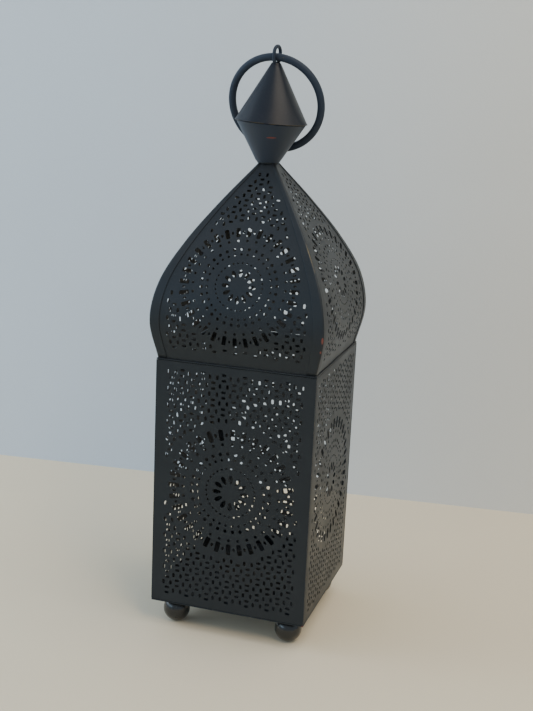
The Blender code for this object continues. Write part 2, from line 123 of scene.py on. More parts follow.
class NodeDesk:
    """Lays out and joins shader nodes in one tree."""

    def __init__(self, tree: NodeTree) -> None:
        """Takes a material's node tree or a shader node group."""
        self.tree = tree
        self.column = 0

    def add(self, kind: str, inputs: dict[str | int, object] | None = None,
            **settings: object) -> Node:
        """Adds one node.

        Args:
            kind: The node's Blender type.
            inputs: A value or a socket for each input that isn't left as it comes.
            **settings: Property names and values.

        Returns:
            The new node.
        """
        node = self.tree.nodes.new(kind)
        node.location = (self.column * 180, 0)
        self.column += 1
        for key, value in settings.items():
            setattr(node, key, value)
        for name, value in (inputs or {}).items():
            self.feed(node, name, value)
        return node

    def feed(self, node: Node, name: str | int, value: object) -> None:
        """Sets an input, or links it when the value is a socket.

        Args:
            node: The node that takes the value.
            name: The input's name or index.
            value: A socket, a number, a vector or a colour.
        """
        target = node.inputs[name]
        if isinstance(value, NodeSocket):
            self.tree.links.new(value, target)
        else:
            target.default_value = (*value, 1.0) if target.type == "RGBA" else value

    def use(self, effect: NodeTree, **inputs: object) -> Node:
        """Adds a shared effect."""
        return self.add("ShaderNodeGroup", inputs, node_tree=effect)

    @cached_property
    def place(self) -> NodeSocket:
        """A point's place in the lantern's frame."""
        return self.add("ShaderNodeTexCoord").outputs["Object"]

    def mark(self, layer: str) -> NodeSocket:
        """A piece's own marks of one kind."""
        return self.add("ShaderNodeAttribute", attribute_name=layer).outputs["Fac"]

    def part(self, vector: NodeSocket, axis: str) -> NodeSocket:
        """One part of a vector."""
        return self.add("ShaderNodeSeparateXYZ", {0: vector}).outputs[axis]

    def math(self, operation: str, first: object, second: object,
             clamp: bool = False) -> NodeSocket:
        """A sum of two values, which stays in 0 to 1 when clamped."""
        return self.add("ShaderNodeMath", {0: first, 1: second}, operation=operation,
                        use_clamp=clamp).outputs[0]

    def vector(self, operation: str, first: NodeSocket, second: NodeSocket) -> NodeSocket:
        """A sum of two vectors."""
        return self.add("ShaderNodeVectorMath", {0: first, 1: second},
                        operation=operation).outputs[0]

    def noise(self, scale: object, detail: float, roughness: float = 0.5) -> NodeSocket:
        """A noise pattern's value, from 0 to 1, at so many cells a metre."""
        return self.add("ShaderNodeTexNoise", {
            "Vector": self.place, "Scale": scale, "Detail": detail,
            "Roughness": roughness}).outputs["Fac"]

    def ramp(self, value: NodeSocket, low: object, high: object, start: float = 0.0,
             end: float = 1.0) -> NodeSocket:
        """Maps low to high smoothly onto start to end."""
        return self.add("ShaderNodeMapRange", {
            "Value": value, "From Min": low, "From Max": high, "To Min": start,
            "To Max": end}, interpolation_type="SMOOTHSTEP").outputs[0]

    def blend(self, share: NodeSocket, first: object, second: object) -> NodeSocket:
        """Mixes a share of the second colour into the first."""
        return self.add("ShaderNodeMix", {0: share, 6: first, 7: second},
                        data_type="RGBA").outputs[2]

    def relief(self, shader: Node, height: NodeSocket, strength: float, depth: float) -> None:
        """Bumps a shader's surface."""
        bump = self.add("ShaderNodeBump",
                        {"Height": height, "Strength": strength, "Distance": depth})
        self.feed(shader, "Normal", bump.outputs["Normal"])


def effect(name: str, inputs: dict[str, float | Point],
           outputs: Iterable[str] = ("Mask",)) -> tuple[NodeDesk, Node, Node]:
    """Makes an empty group for an effect that several finishes share.

    Args:
        name: The group's name.
        inputs: Each input's default, a number or a vector.
        outputs: The names of its outputs, each a number.

    Returns:
        The desk to build on, the group's input node and its output node.
    """
    tree = bpy.data.node_groups.new(name, "ShaderNodeTree")
    for label, value in inputs.items():
        kind = "NodeSocketVector" if isinstance(value, tuple) else "NodeSocketFloat"
        socket = tree.interface.new_socket(name=label, in_out="INPUT", socket_type=kind)
        socket.default_value = value
    for label in outputs:
        tree.interface.new_socket(name=label, in_out="OUTPUT", socket_type="NodeSocketFloat")
    desk = NodeDesk(tree)
    return desk, desk.add("NodeGroupInput"), desk.add("NodeGroupOutput")


@cache
def sprayed_grain() -> NodeTree:
    """Fine orange peel of sprayed paint, with a slow change of sheen over the sheet."""
    desk, given, result = effect("sprayed_grain", {"Cells": 2200.0}, ("Height", "Cloud"))
    peel = desk.math("MULTIPLY", desk.noise(given.outputs["Cells"], 2.0), 0.55)
    lumps = desk.math("MULTIPLY", desk.noise(420.0, 2.0), 0.45)
    desk.feed(result, "Height", desk.math("ADD", peel, lumps))
    desk.feed(result, "Cloud", desk.ramp(desk.noise(38.0, 5.0, 0.6), 0.32, 0.68))
    return desk.tree


@cache
def wear_and_highlight_edges() -> NodeTree:
    """Where paint is rubbed away and where a highlight is painted on, from the sheet's own edge
    marks broken up by noise.
    """
    desk, given, result = effect("wear_and_highlight_edges", {"Amount": 0.3})
    limit = desk.math("SUBTRACT", 1.0, given.outputs["Amount"])
    broken = desk.math("ADD", desk.noise(130.0, 6.0, 0.7), 0.35)
    score = desk.math("MULTIPLY", desk.mark("wear_and_highlight"), broken)
    desk.feed(result, "Mask", desk.ramp(score, limit, desk.math("ADD", limit, 0.06)))
    return desk.tree


@cache
def inner_faces() -> NodeTree:
    """Where a sheet shows its inner face, from the sheet's own marks."""
    desk, _, result = effect("inner_faces", {})
    desk.feed(result, "Mask", desk.ramp(desk.mark("inner"), 0.55, 0.95))
    return desk.tree


@cache
def settled_dust() -> NodeTree:
    """A thin film of dust on faces that look up."""
    desk, given, result = effect("settled_dust", {"Amount": 0.1})
    normal = desk.add("ShaderNodeNewGeometry").outputs["Normal"]
    upward = desk.ramp(desk.part(normal, "Z"), 0.05, 0.9)
    specks = desk.ramp(desk.noise(900.0, 4.0, 0.7), 0.42, 0.75)
    film = desk.ramp(desk.noise(60.0, 4.0, 0.6), 0.3, 0.7, 0.3, 1.0)
    both = desk.math("MULTIPLY", upward, desk.math("ADD", film, specks))
    desk.feed(result, "Mask", desk.math("MULTIPLY", both, given.outputs["Amount"], clamp=True))
    return desk.tree


@cache
def paint_chip() -> NodeTree:
    """One chip in the paint, round a point in the lantern's frame."""
    desk, given, result = effect("paint_chip", {"Centre": (0.0,) * 3, "Reach": (0.001,) * 3})
    offset = desk.vector("SUBTRACT", desk.place, given.outputs["Centre"])
    share = desk.vector("DIVIDE", offset, given.outputs["Reach"])
    length = desk.add("ShaderNodeVectorMath", {0: share}, operation="LENGTH").outputs["Value"]
    ragged = desk.math("MULTIPLY", desk.noise(1500.0, 4.0, 0.7), 0.9)
    desk.feed(result, "Mask", desk.ramp(desk.math("ADD", length, ragged), 1.0, 1.35, 1.0, 0.0))
    return desk.tree


# ------------------------------------------------------------------ finishes


def surface(name: str) -> tuple[Material, NodeDesk, Node]:
    """A new material, the desk to build it on and its main shader."""
    made = bpy.data.materials.new(name)
    made.use_nodes = True
    return made, NodeDesk(made.node_tree), made.node_tree.nodes["Principled BSDF"]


@dataclass(frozen=True)
class Chip:
    """A place where the paint is knocked off and the red primer shows."""

    centre: Point
    reach: Point


@dataclass(frozen=True)
class Paint:
    """Satin black sprayed paint over red primer."""

    name: str
    colour: Colour = (0.0136, 0.0171, 0.0222)
    cloud_colour: Colour = (0.0162, 0.0194, 0.0240)
    primer: Colour = (0.170, 0.050, 0.040)
    # Yellowish brown of rubbed edges, which also paints the highlight along the ridge crests and the
    # upper cone's rim.
    wear_and_highlight: Colour = (0.105, 0.084, 0.042)
    inner: Colour = (0.122, 0.124, 0.126)
    roughness: float = 0.37
    sheen_change: float = 0.09
    grain: float = 0.16
    cells: float = 2200.0
    wear_and_highlight_amount: float = 0.08
    dust: float = 0.02
    specular: float = 0.32
    tint: Colour = (0.80, 0.90, 1.0)
    coat: float = 0.0
    chips: tuple[Chip, ...] = ()

    @cache
    def material(self) -> Material:
        """Builds the material the first time it is asked for."""
        made, desk, shader = surface(self.name)
        for name, value in (("Specular IOR Level", self.specular), ("Specular Tint", self.tint),
                            ("Coat Weight", self.coat), ("Coat Roughness", 0.18)):
            desk.feed(shader, name, value)
        grain = desk.use(sprayed_grain(), Cells=self.cells)
        cloud = grain.outputs["Cloud"]
        dust = desk.use(settled_dust(), Amount=self.dust).outputs["Mask"]
        wear_and_highlight_mask = desk.use(wear_and_highlight_edges(), Amount=self.wear_and_highlight_amount).outputs["Mask"]
        inner = desk.use(inner_faces()).outputs["Mask"]
        paint = desk.blend(cloud, self.colour, self.cloud_colour)
        # The edge mark takes the yellowish-brown colour: rubbed wear, and painted highlights on the
        # ridges and the cone rim.
        shown = desk.blend(wear_and_highlight_mask, desk.blend(inner, paint, self.inner), self.wear_and_highlight)
        for chip in self.chips:
            gone = desk.use(paint_chip(), Centre=chip.centre, Reach=chip.reach).outputs["Mask"]
            shown = desk.blend(gone, shown, self.primer)
        desk.feed(shader, "Base Color", desk.blend(dust, shown, DUST))
        sheen = desk.math("ADD", desk.math("MULTIPLY", cloud, self.sheen_change), self.roughness)
        dull = desk.math("ADD", desk.math("MULTIPLY", dust, 0.4),
                         desk.math("MULTIPLY", inner, 0.3))
        worn = desk.math("ADD", dull, desk.math("MULTIPLY", wear_and_highlight_mask, -0.08))
        desk.feed(shader, "Roughness", desk.math("ADD", sheen, worn, clamp=True))
        height = desk.math("SUBTRACT", grain.outputs["Height"], desk.math("MULTIPLY", wear_and_highlight_mask, 0.4))
        desk.relief(shader, height, self.grain, 0.00025)
        return made


@dataclass(frozen=True)
class BareMetal:
    """Plain or tinned steel with fine scratches and some darkening."""

    name: str
    colour: Colour = (0.20, 0.20, 0.205)
    dark: Colour = (0.06, 0.058, 0.056)
    roughness: float = 0.38
    metallic: float = 0.85

    @cache
    def material(self) -> Material:
        """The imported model's own material of this name, or else a new one."""
        packed = bpy.data.materials.get(self.name)
        if packed:
            return packed
        made, desk, shader = surface(self.name)
        desk.feed(shader, "Metallic", self.metallic)
        grain = desk.use(sprayed_grain(), Cells=3200.0)
        cloud = grain.outputs["Cloud"]
        dust = desk.use(settled_dust(), Amount=0.05).outputs["Mask"]
        metal = desk.blend(cloud, self.colour, self.dark)
        desk.feed(shader, "Base Color", desk.blend(dust, metal, DUST))
        desk.feed(shader, "Roughness", desk.math("ADD", desk.math("MULTIPLY", cloud, 0.2),
                                                 self.roughness, clamp=True))
        desk.relief(shader, grain.outputs["Height"], 0.12, 0.00015)
        return made


Finish = Paint | BareMetal

SATIN = Paint("satin_black_sheet")
SATIN_DOOR = Paint("satin_black_door", wear_and_highlight_amount=0.10)
SATIN_HARDWARE = Paint("satin_black_hardware", wear_and_highlight_amount=0.30, roughness=0.36)
# The ridge paint shows much of its edge mark: rubbed wear and a painted highlight along the crest.
SATIN_RIDGE = Paint("satin_black_ridge", roughness=0.40, wear_and_highlight_amount=0.38, chips=(
    Chip((0.0557, -0.0563, 0.2078), (0.0009, 0.0009, 0.0027)),
    Chip((0.0548, -0.0556, 0.2003), (0.0008, 0.0008, 0.0011))))
SATIN_PAN = Paint("satin_black_pan", chips=(
    Chip((0.0525, -0.0525, 0.0182), (0.0012, 0.0012, 0.0010)),))
# The cone paint shows more of its edge mark, which paints a highlight line along the upper cone's
# rim.
SATIN_CONE = Paint("satin_black_cone", colour=(0.0070, 0.0115, 0.0215),
                   cloud_colour=(0.0090, 0.0135, 0.0240), roughness=0.34, specular=0.24,
                   wear_and_highlight_amount=0.20, tint=(1.0, 0.92, 0.80))
# A lighter, bluer copy of the cone paint: a painted reflection of bluish light on the lower cone's
# downward faces.
LOWER_CONE_PAINTED_SHEEN = Paint("satin_black_lower_cone_painted_sheen", colour=(0.0235, 0.0325, 0.0520),
                         cloud_colour=(0.0260, 0.0350, 0.0550), dust=0.0, chips=(
    Chip((0.0057, -0.0161, 0.3227), (0.0040, 0.0040, 0.0006)),))
GLOSS_FEET = Paint("gloss_black_feet", colour=(0.0110, 0.0125, 0.0140),
                   cloud_colour=(0.0135, 0.0150, 0.0160), roughness=0.20, coat=0.50,
                   tint=(0.95, 0.97, 1.0))
BLACK_IRON = Paint("black_iron_wire", colour=(0.0225, 0.0320, 0.0520),
                   cloud_colour=(0.0255, 0.0350, 0.0550), roughness=0.48, grain=0.22,
                   cells=1600.0, wear_and_highlight_amount=0.14, specular=0.20)
DARK_STEEL = BareMetal("dark_steel")
SOOTY_TIN = BareMetal("sooty_tin", colour=(0.110, 0.108, 0.103), dark=(0.070, 0.068, 0.064),
                      roughness=0.50, metallic=0.30)


# ------------------------------------------------------------------ bench


def linked(obj: Object) -> Object:
    """Puts an object in the scene."""
    bpy.context.scene.collection.objects.link(obj)
    return obj


def meshed(name: str, bm: BMesh, material: Material) -> Object:
    """Makes an object from a bmesh, which is freed."""
    mesh = bpy.data.meshes.new(name)
    bm.to_mesh(mesh)
    bm.free()
    mesh.materials.append(material)
    return linked(bpy.data.objects.new(name, mesh))


@dataclass
class Bench:
    """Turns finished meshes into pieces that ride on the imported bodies."""

    count: int = 0

    def lay(self, name: str, bm: BMesh, finish: Finish, stands_for: Iterable[str] = (),
            rider: Rider = Rider.LANTERN, slot: Slot = Slot.SATIN) -> Object:
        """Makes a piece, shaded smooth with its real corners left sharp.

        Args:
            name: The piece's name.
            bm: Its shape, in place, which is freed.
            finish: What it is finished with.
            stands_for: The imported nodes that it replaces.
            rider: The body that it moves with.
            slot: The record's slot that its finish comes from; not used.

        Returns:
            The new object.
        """
        for face in bm.faces:
            face.smooth = True
        for edge in bm.edges:
            if len(edge.link_faces) == 2:
                edge.smooth = edge.calc_face_angle(0.0) < CREASE
        piece = meshed(name, bm, finish.material())
        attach(piece, rider.value)
        if stands_for:
            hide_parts(*stands_for)
        self.count += 1
        LOG.info("%-30s %6d faces on %s", name, len(piece.data.polygons), rider.value)
        return piece

    def repaint(self, node: str, finish: Finish) -> None:
        """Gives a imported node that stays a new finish."""
        obj = frame["nodes"][node]
        if not obj.data.materials:
            obj.data.materials.append(finish.material())
        for holder in obj.material_slots:
            holder.material = finish.material()
        LOG.info("%-30s keeps its packed shape, finish %s", node, finish.name)


@dataclass
class Part:
    """A group of pieces that are made together on the bench."""

    bench: Bench


@cache
def node_box(name: str) -> tuple[Vector, Vector]:
    """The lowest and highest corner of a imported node."""
    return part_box(name)


def joint_place(name: str) -> Vector:
    """Where a joint turns, in the lantern's frame."""
    return next(Vector(joint["pos_m"]) for joint in frame["joints"] if joint["name"] == name)


# ------------------------------------------------------------------ shapes


def moved(bm: BMesh, matrix: Matrix) -> BMesh:
    """Moves a whole shape."""
    ops.transform(bm, verts=bm.verts[:], matrix=matrix)
    return bm


def cleaned(bm: BMesh) -> BMesh:
    """Joins doubled points and turns every face outwards."""
    ops.remove_doubles(bm, verts=bm.verts[:], dist=1e-7)
    ops.dissolve_degenerate(bm, dist=1e-8, edges=bm.edges[:])
    ops.recalc_face_normals(bm, faces=bm.faces[:])
    return bm


def rounded(bm: BMesh, edges: Iterable[BMEdge], width: float) -> BMesh:
    """Rounds edges off."""
    ops.bevel(bm, geom=list(edges), offset=width, offset_type="OFFSET", segments=2, profile=0.5,
              affect="EDGES", clamp_overlap=True, material=-1)
    return bm


def scored(bm: BMesh, point: Iterable[float], across: Iterable[float]) -> None:
    """Cuts every face along a plane, and leaves both sides."""
    ops.bisect_plane(bm, geom=bm.verts[:] + bm.edges[:] + bm.faces[:], dist=1e-7,
                     plane_co=point, plane_no=across)


def mark(bm: BMesh, share: Callable[[Vector], float]) -> BMesh:
    """Writes each point's share of rubbed wear and painted highlight, from 0 to 1."""
    layer = bm.verts.layers.float.new("wear_and_highlight")
    for vert in bm.verts:
        vert[layer] = share(vert.co)
    return bm


def spun(profile: Iterable[Flat], steps: int, closed: bool = True) -> BMesh:
    """Turns a (radius, height) line round the upright axis.

    Args:
        profile: Points of the line, in order.
        steps: Steps in the full turn.
        closed: Whether the line's last point joins its first.

    Returns:
        A closed shape with its faces outwards.
    """
    bm = bmesh.new()
    line = [bm.verts.new((radius, 0.0, height)) for radius, height in profile]
    edges = [bm.edges.new(pair) for pair in zip(line, line[1:])]
    if closed:
        edges.append(bm.edges.new((line[-1], line[0])))
    ops.spin(bm, geom=line + edges, axis=(0, 0, 1), cent=(0, 0, 0), angle=2 * math.pi,
             steps=steps, use_merge=True)
    return cleaned(bm)


def arc(centre: Flat, radius: float, start: float, end: float, steps: int) -> list[Flat]:
    """Points on an arc in the (radius, height) plane.

    Args:
        centre: Its centre.
        radius: Its radius.
        start: First angle in degrees, from outwards towards up.
        end: Last angle in degrees.
        steps: Steps between them.

    Returns:
        The points, both ends included.
    """
    angles = [math.radians(start + (end - start) * i / steps) for i in range(steps + 1)]
    return [(centre[0] + radius * math.cos(a), centre[1] + radius * math.sin(a)) for a in angles]


def smooth_line(knots: list[Vector], steps: int) -> list[Vector]:
    """Points on a smooth curve through every knot, with so many steps from each to the next."""
    ends = [2 * knots[0] - knots[1], *knots, 2 * knots[-1] - knots[-2]]
    line = []
    for i in range(1, len(ends) - 2):
        a, b, c, d = ends[i - 1:i + 3]
        for step in range(steps):
            t = step / steps
            line.append(0.5 * (2 * b + (c - a) * t + (2 * a - 5 * b + 4 * c - d) * t**2
                               + (3 * b - a - 3 * c + d) * t**3))
    return [*line, knots[-1]]


def round_wire(points: list[Vector], radius: float) -> BMesh:
    """A round wire along a line of points, with closed ends."""
    curve = bpy.data.curves.new("wire_line", "CURVE")
    curve.dimensions = "3D"
    curve.bevel_depth = radius
    curve.bevel_resolution = 5
    curve.use_fill_caps = True
    spline = curve.splines.new("POLY")
    spline.points.add(len(points) - 1)
    for knot, point in zip(spline.points, points):
        knot.co = (*point, 1.0)
    guide = linked(bpy.data.objects.new("wire_line", curve))
    bpy.context.view_layer.update()
    mesh = bpy.data.meshes.new_from_object(
        guide.evaluated_get(bpy.context.evaluated_depsgraph_get()))
    bm = bmesh.new()
    bm.from_mesh(mesh)
    bpy.data.objects.remove(guide)
    bpy.data.curves.remove(curve)
    bpy.data.meshes.remove(mesh)
    return cleaned(bm)


def eased(node: str, width: float) -> BMesh:
    """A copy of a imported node, merged and cleaned, with its corners rounded off."""
    bm = bmesh.new()
    bm.from_mesh(frame["nodes"][node].data)
    ops.remove_doubles(bm, verts=bm.verts[:], dist=1e-6)
    ops.dissolve_limit(bm, angle_limit=math.radians(1.0), use_dissolve_boundaries=False,
                       verts=bm.verts[:], edges=bm.edges[:])
    ops.recalc_face_normals(bm, faces=bm.faces[:])
    corners = [edge for edge in bm.edges
               if len(edge.link_faces) == 2 and edge.calc_face_angle(0.0) > CREASE]
    return rounded(bm, corners, width)


# ------------------------------------------------------------------ punched sheets


@dataclass(frozen=True)
class Hole:
    """One punched hole in a flat sheet: its place, full sizes, turn and shape."""

    u: float
    v: float
    length: float
    width: float
    turn: float = 0.0
    shape: Punch = Punch.DOT

    @property
    def reach(self) -> float:
        """The hole's half length."""
        return self.length / 2

    @property
    def mirrored(self) -> "Hole":
        """The same hole on the other side of u 0."""
        return replace(self, u=-self.u, turn=-self.turn)

    def cut(self, bm: BMesh) -> None:
        """Adds the hole's edge loop to a flat sheet."""
        corners = 12 if self.shape in (Punch.BAR, Punch.PETAL) else 8
        loop = ops.create_circle(bm, cap_ends=False, segments=corners, radius=0.5,
                                 matrix=Matrix.Rotation(math.pi / corners, 4, "Z"))["verts"]
        for vert in loop:
            vert.co = self._shaped(vert.co)
        ops.transform(bm, verts=loop, matrix=Matrix.Translation((self.u, self.v, 0.0))
                      @ Matrix.Rotation(self.turn, 4, "Z"))

    def _shaped(self, point: Vector) -> Vector:
        """Moves one point of a unit circle to the hole's outline, lying along u."""
        right, upper = math.copysign(0.5, point.x), math.copysign(0.5, point.y)
        if self.shape is Punch.SLOT:
            return Vector((point.x * self.width + right * (self.length - self.width),
                           point.y * self.width, 0.0))
        if self.shape is Punch.BAR:
            corner = 0.62 * self.width
            return Vector((point.x * corner + right * (self.length - corner),
                           point.y * corner + upper * (self.width - corner), 0.0))
        taper = 1.0 + 0.44 * point.x if self.shape is Punch.PETAL else 1.0
        return Vector((point.x * self.length, point.y * self.width * taper, 0.0))


@dataclass(frozen=True)
class HoleRing:
    """A ring of equal holes round a rosette's centre, sized on the largest sheet."""

    radius: float
    count: int
    along: float
    across: float
    shape: Punch = Punch.DOT
    half_step: bool = False

    def holes(self, centre: Flat, scale: float, punch: float) -> Iterator[Hole]:
        """Every hole of the ring, its long side pointing outwards.

        Args:
            centre: The rosette's centre.
            scale: The ring's size against the largest sheet's.
            punch: The punch's size against the largest sheet's.

        Yields:
            The holes, one after another round the ring.
        """
        radius = scale * self.radius
        for i in range(self.count):
            angle = 2 * math.pi * (i + self.half_step / 2) / self.count
            yield Hole(centre[0] + radius * math.cos(angle), centre[1] + radius * math.sin(angle),
                       punch * self.along, punch * self.across, angle, self.shape)


@dataclass(frozen=True)
class Rosette:
    """The large round figure: petals, beads and a crown of bars, with a clear ring outside."""

    scale: float = 1.0
    punch: float = 1.0
    clear: float = 0.0448
    rings: tuple[HoleRing, ...] = (
        HoleRing(0.00914, 12, 0.0059, 0.0029, Punch.PETAL),
        HoleRing(0.01628, 32, 0.0013, 0.0017),
        HoleRing(0.02240, 32, 0.0019, 0.0019, half_step=True),
        HoleRing(0.02625, 32, 0.0026, 0.0024, half_step=True),
        HoleRing(0.03234, 32, 0.0022, 0.0021),
        HoleRing(0.03854, 32, 0.0075, 0.0032, Punch.BAR),
        HoleRing(0.03854, 32, 0.0026, 0.0018, half_step=True),
    )

    def holes(self, centre: Flat) -> Iterator[Hole]:
        """Every hole of the rosette round a centre."""
        for ring in self.rings:
            yield from ring.holes(centre, self.scale, self.scale * self.punch)

    def covers(self, centre: Flat, hole: Hole) -> bool:
        """Whether a ground hole would run into the rosette's clear ring."""
        return math.dist(centre, (hole.u, hole.v)) < self.clear * self.scale + 0.6 * hole.reach


@dataclass(frozen=True)
class Pattern:
    """A rosette on a ground whose cells hold two level slots and two upright ones in turn."""

    rosette: Rosette = Rosette()
    cell_wide: float = 0.00693
    cell_high: float = 0.00552
    slot: float = 0.0031
    slot_wide: float = 0.0018
    level_apart: float = 0.0037
    upright_apart: float = 0.0050

    def _ground(self, centre: Flat, columns: int, rows: int) -> Iterator[Hole]:
        """Every slot of a field of cells, column by column."""
        for i in range(columns):
            for j in range(rows):
                u = centre[0] + (i - (columns - 1) / 2) * self.cell_wide
                v = centre[1] + (j - (rows - 1) / 2) * self.cell_high
                upright = (i + j) % 2
                for side in (-0.5, 0.5):
                    yield Hole(u + side * self.upright_apart * upright,
                               v + side * self.level_apart * (1 - upright),
                               self.slot, self.slot_wide, QUARTER * upright, Punch.SLOT)

    def holes(self, level: float, field_level: float, columns: int, rows: int,
              keeps: Callable[[Hole], bool] = lambda hole: True) -> list[Hole]:
        """The holes of a sheet whose middle is at u 0.

        Args:
            level: The rosette's centre.
            field_level: The ground's centre.
            columns: Cells across.
            rows: Cells up.
            keeps: Whether a hole is clear of whatever else is on the sheet.

        Returns:
            The ground's holes, then the rosette's.
        """
        centre = (0.0, level)
        ground = [hole for hole in self._ground((0.0, field_level), columns, rows)
                  if not self.rosette.covers(centre, hole)]
        return [hole for hole in [*ground, *self.rosette.holes(centre)] if keeps(hole)]


def rivet_holes(u: float, middle: float, rise: float) -> list[Hole]:
    """The holes for the two hinges' rivets, a pair to a leaf, at one distance along a sheet."""
    return [Hole(u, middle + level + end, RIVET_HOLE, RIVET_HOLE)
            for level in (-HINGE_DROP, HINGE_DROP) for end in (-rise, rise)]


@dataclass
class PiercedSheet:
    """A flat sheet with punched holes, then given its thickness and bent."""

    outline: list[Flat]
    holes: list[Hole] = field(default_factory=list)
    creases_u: list[float] = field(default_factory=list)
    creases_v: list[float] = field(default_factory=list)

    def bent(self, place: Placing) -> BMesh:
        """Punches the sheet, scores it where it bends, thickens it below and bends it.

        Args:
            place: Gives the place of a flat point (u, v, height above the upper face).

        Returns:
            The finished sheet, with its inner face marked.
        """
        bm = bmesh.new()
        rim = [bm.verts.new((u, v, 0.0)) for u, v in self.outline]
        for pair in zip(rim, rim[1:] + rim[:1]):
            bm.edges.new(pair)
        for hole in self.holes:
            hole.cut(bm)
        ops.triangle_fill(bm, use_beauty=True, use_dissolve=False, edges=bm.edges[:],
                          normal=(0.0, 0.0, 1.0))
        for u in self.creases_u:
            scored(bm, (u, 0.0, 0.0), (1.0, 0.0, 0.0))
        for v in self.creases_v:
            scored(bm, (0.0, v, 0.0), (0.0, 1.0, 0.0))
        inner = bm.faces.layers.float.new("inner")
        made = ops.extrude_face_region(bm, geom=bm.faces[:])["geom"]
        lower = [part for part in made if isinstance(part, BMVert)]
        ops.translate(bm, verts=lower, vec=(0.0, 0.0, -SKIN))
        for part in made:
            if isinstance(part, BMFace):
                part[inner] = 1.0
        ops.recalc_face_normals(bm, faces=bm.faces[:])
        for vert in bm.verts:
            vert.co = place(*vert.co)
        return bm


def rectangle(left: float, right: float, low: float, high: float) -> list[Flat]:
    """A rectangle's corners, anticlockwise."""
    return [(left, low), (right, low), (right, high), (left, high)]


# ------------------------------------------------------------------ body


@dataclass
class BoxBody(Part):
    """The pierced walls, the floor pan, the collar and the four ball feet."""

    half: float = 0.0525
    side_border: float = 0.00735
    low_border: float = 0.0052
    high_border: float = 0.0042
    fold: float = 0.0009
    fold_steps: int = 4
    front_return: float = 0.0065
    rear_return: float = 0.0051
    frame_rivet: Flat = (0.0490, 0.0075)
    pattern: Pattern = Pattern()

    def __post_init__(self) -> None:
        """Reads the wall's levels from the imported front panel, and works out a side wall's run."""
        self.low, self.high = (corner.z for corner in node_box("front_panel"))
        self.middle = (self.low + self.high) / 2
        self.reach = self.half - SHEET - SOLDER_GAP
        self.flat = self.reach - self.fold
        self.bend = self.fold * QUARTER

    def _holes(self) -> list[Hole]:
        """The wall's holes, with u 0 at its middle and v its height."""
        columns = int(2 * (self.half - self.side_border) / self.pattern.cell_wide)
        rows = int((self.high - self.low - self.low_border - self.high_border)
                   / self.pattern.cell_high)
        shift = (self.low_border - self.high_border) / 2
        return self.pattern.holes(self.middle, self.middle + shift, columns, rows)

    def front(self) -> None:
        """The flat front wall."""
        wall = PiercedSheet(rectangle(-self.half, self.half, self.low, self.high), self._holes())
        bm = wall.bent(lambda u, v, w: Vector((u, -self.half - w, v)))
        self.bench.lay("front_wall", bm, SATIN, ["front_panel"])

    def _folded(self, u: float, depth: float) -> Vector:
        """Where a point of a side wall goes once its two upright edges are folded in.

        Args:
            u: Distance along the flat sheet from the wall's middle, towards the front if negative.
            depth: How far below the outer face the point lies.

        Returns:
            Its place seen from above, as (along, outwards).
        """
        side = 1.0 if u > 0 else -1.0
        past = abs(u) - self.flat
        if past <= 0:
            return Vector((u, self.half - depth))
        if past <= self.bend:
            angle = past / self.fold
            radius = self.fold - depth
            return Vector((side * (self.flat + radius * math.sin(angle)),
                           self.half - self.fold + radius * math.cos(angle)))
        return Vector((side * (self.reach - depth), self.half - self.fold - past + self.bend))

    def sides(self) -> None:
        """The right and left walls, folded in behind the front wall and the back frame."""
        end = self.flat + self.bend - self.fold
        front, rear = -(end + self.front_return), end + self.rear_return
        creases = [self.flat + self.bend * i / self.fold_steps for i in range(self.fold_steps + 1)]
        creases += [-crease for crease in creases]
        for side, word in ((1, "right"), (-1, "left")):
            sheet = PiercedSheet(rectangle(front, rear, self.low, self.high), self._holes(),
                                 creases)
            if side < 0:
                sheet.outline = rectangle(-rear, -front, self.low, self.high)
                sheet.holes += rivet_holes(end + self.half - self.frame_rivet[0], self.middle,
                                           self.frame_rivet[1])
                sheet.holes = [hole.mirrored for hole in sheet.holes]

            def place(u: float, v: float, w: float) -> Vector:
                """A flat point, whose u runs from front to rear on the right wall."""
                seen = self._folded(u, -w)
                return Vector((side * seen.y, side * seen.x, v))

            bm = mark(sheet.bent(place), self._corner_mark)
            self.bench.lay(f"{word}_wall", bm, SATIN, [f"{word}_panel"])

    def _corner_mark(self, point: Vector) -> float:
        """Paint is thin on the folds at the box's corners."""
        return 1.0 if min(abs(point.x), abs(point.y)) > self.half - 0.0015 else 0.0

    def seams(self) -> None:
        """The four upright solder seams between the walls, painted over."""
        inset, wide, thick = 0.00006, 0.0012, SOLDER_GAP + 0.0002
        size = Matrix.Diagonal((wide, thick, self.high - self.low - 0.0004, 1.0))
        for side, hand in ((-1, "left"), (1, "right")):
            for end, word in ((-1, "front"), (1, "rear")):
                bm = bmesh.new()
                ops.create_cube(bm, size=1.0, matrix=Matrix.Translation((
                    side * (self.half - inset - wide / 2),
                    end * (self.half - SHEET - SOLDER_GAP / 2), self.middle)) @ size)
                self.bench.lay(f"corner_seam_{word}_{hand}", rounded(bm, bm.edges, 0.00008), SATIN)

    def _mark_inner(self, bm: BMesh) -> None:
        """Scores a plate at the walls and marks its faces that look into the body."""
        inner = bm.faces.layers.float.new("inner")
        reach = self.half - 0.0010
        for side in (-reach, reach):
            scored(bm, (side, 0.0, 0.0), (1.0, 0.0, 0.0))
            scored(bm, (0.0, side, 0.0), (0.0, 1.0, 0.0))
        for face in bm.faces:
            centre = face.calc_center_median()
            looks_in = face.normal.dot(Vector((0.0, 0.0, self.middle)) - centre) > 0.01
            if looks_in and max(abs(centre.x), abs(centre.y)) < reach:
                face[inner] = 0.72

    def trim(self) -> None:
        """The pan, the collar and the back frame, with their sheared edges rounded over."""
        for node, finish, width in (("base_pan", SATIN_PAN, 0.00018),
                                    ("top_collar", SATIN, 0.00026),
                                    ("back_frame", SATIN, 0.00012)):
            bm = eased(node, width)
            self._mark_inner(bm)
            mark(bm, lambda p: 0.9 if max(abs(p.x), abs(p.y)) > self.half - 0.0004 else 0.0)
            self.bench.lay(f"{node}_edged", bm, finish, [node])

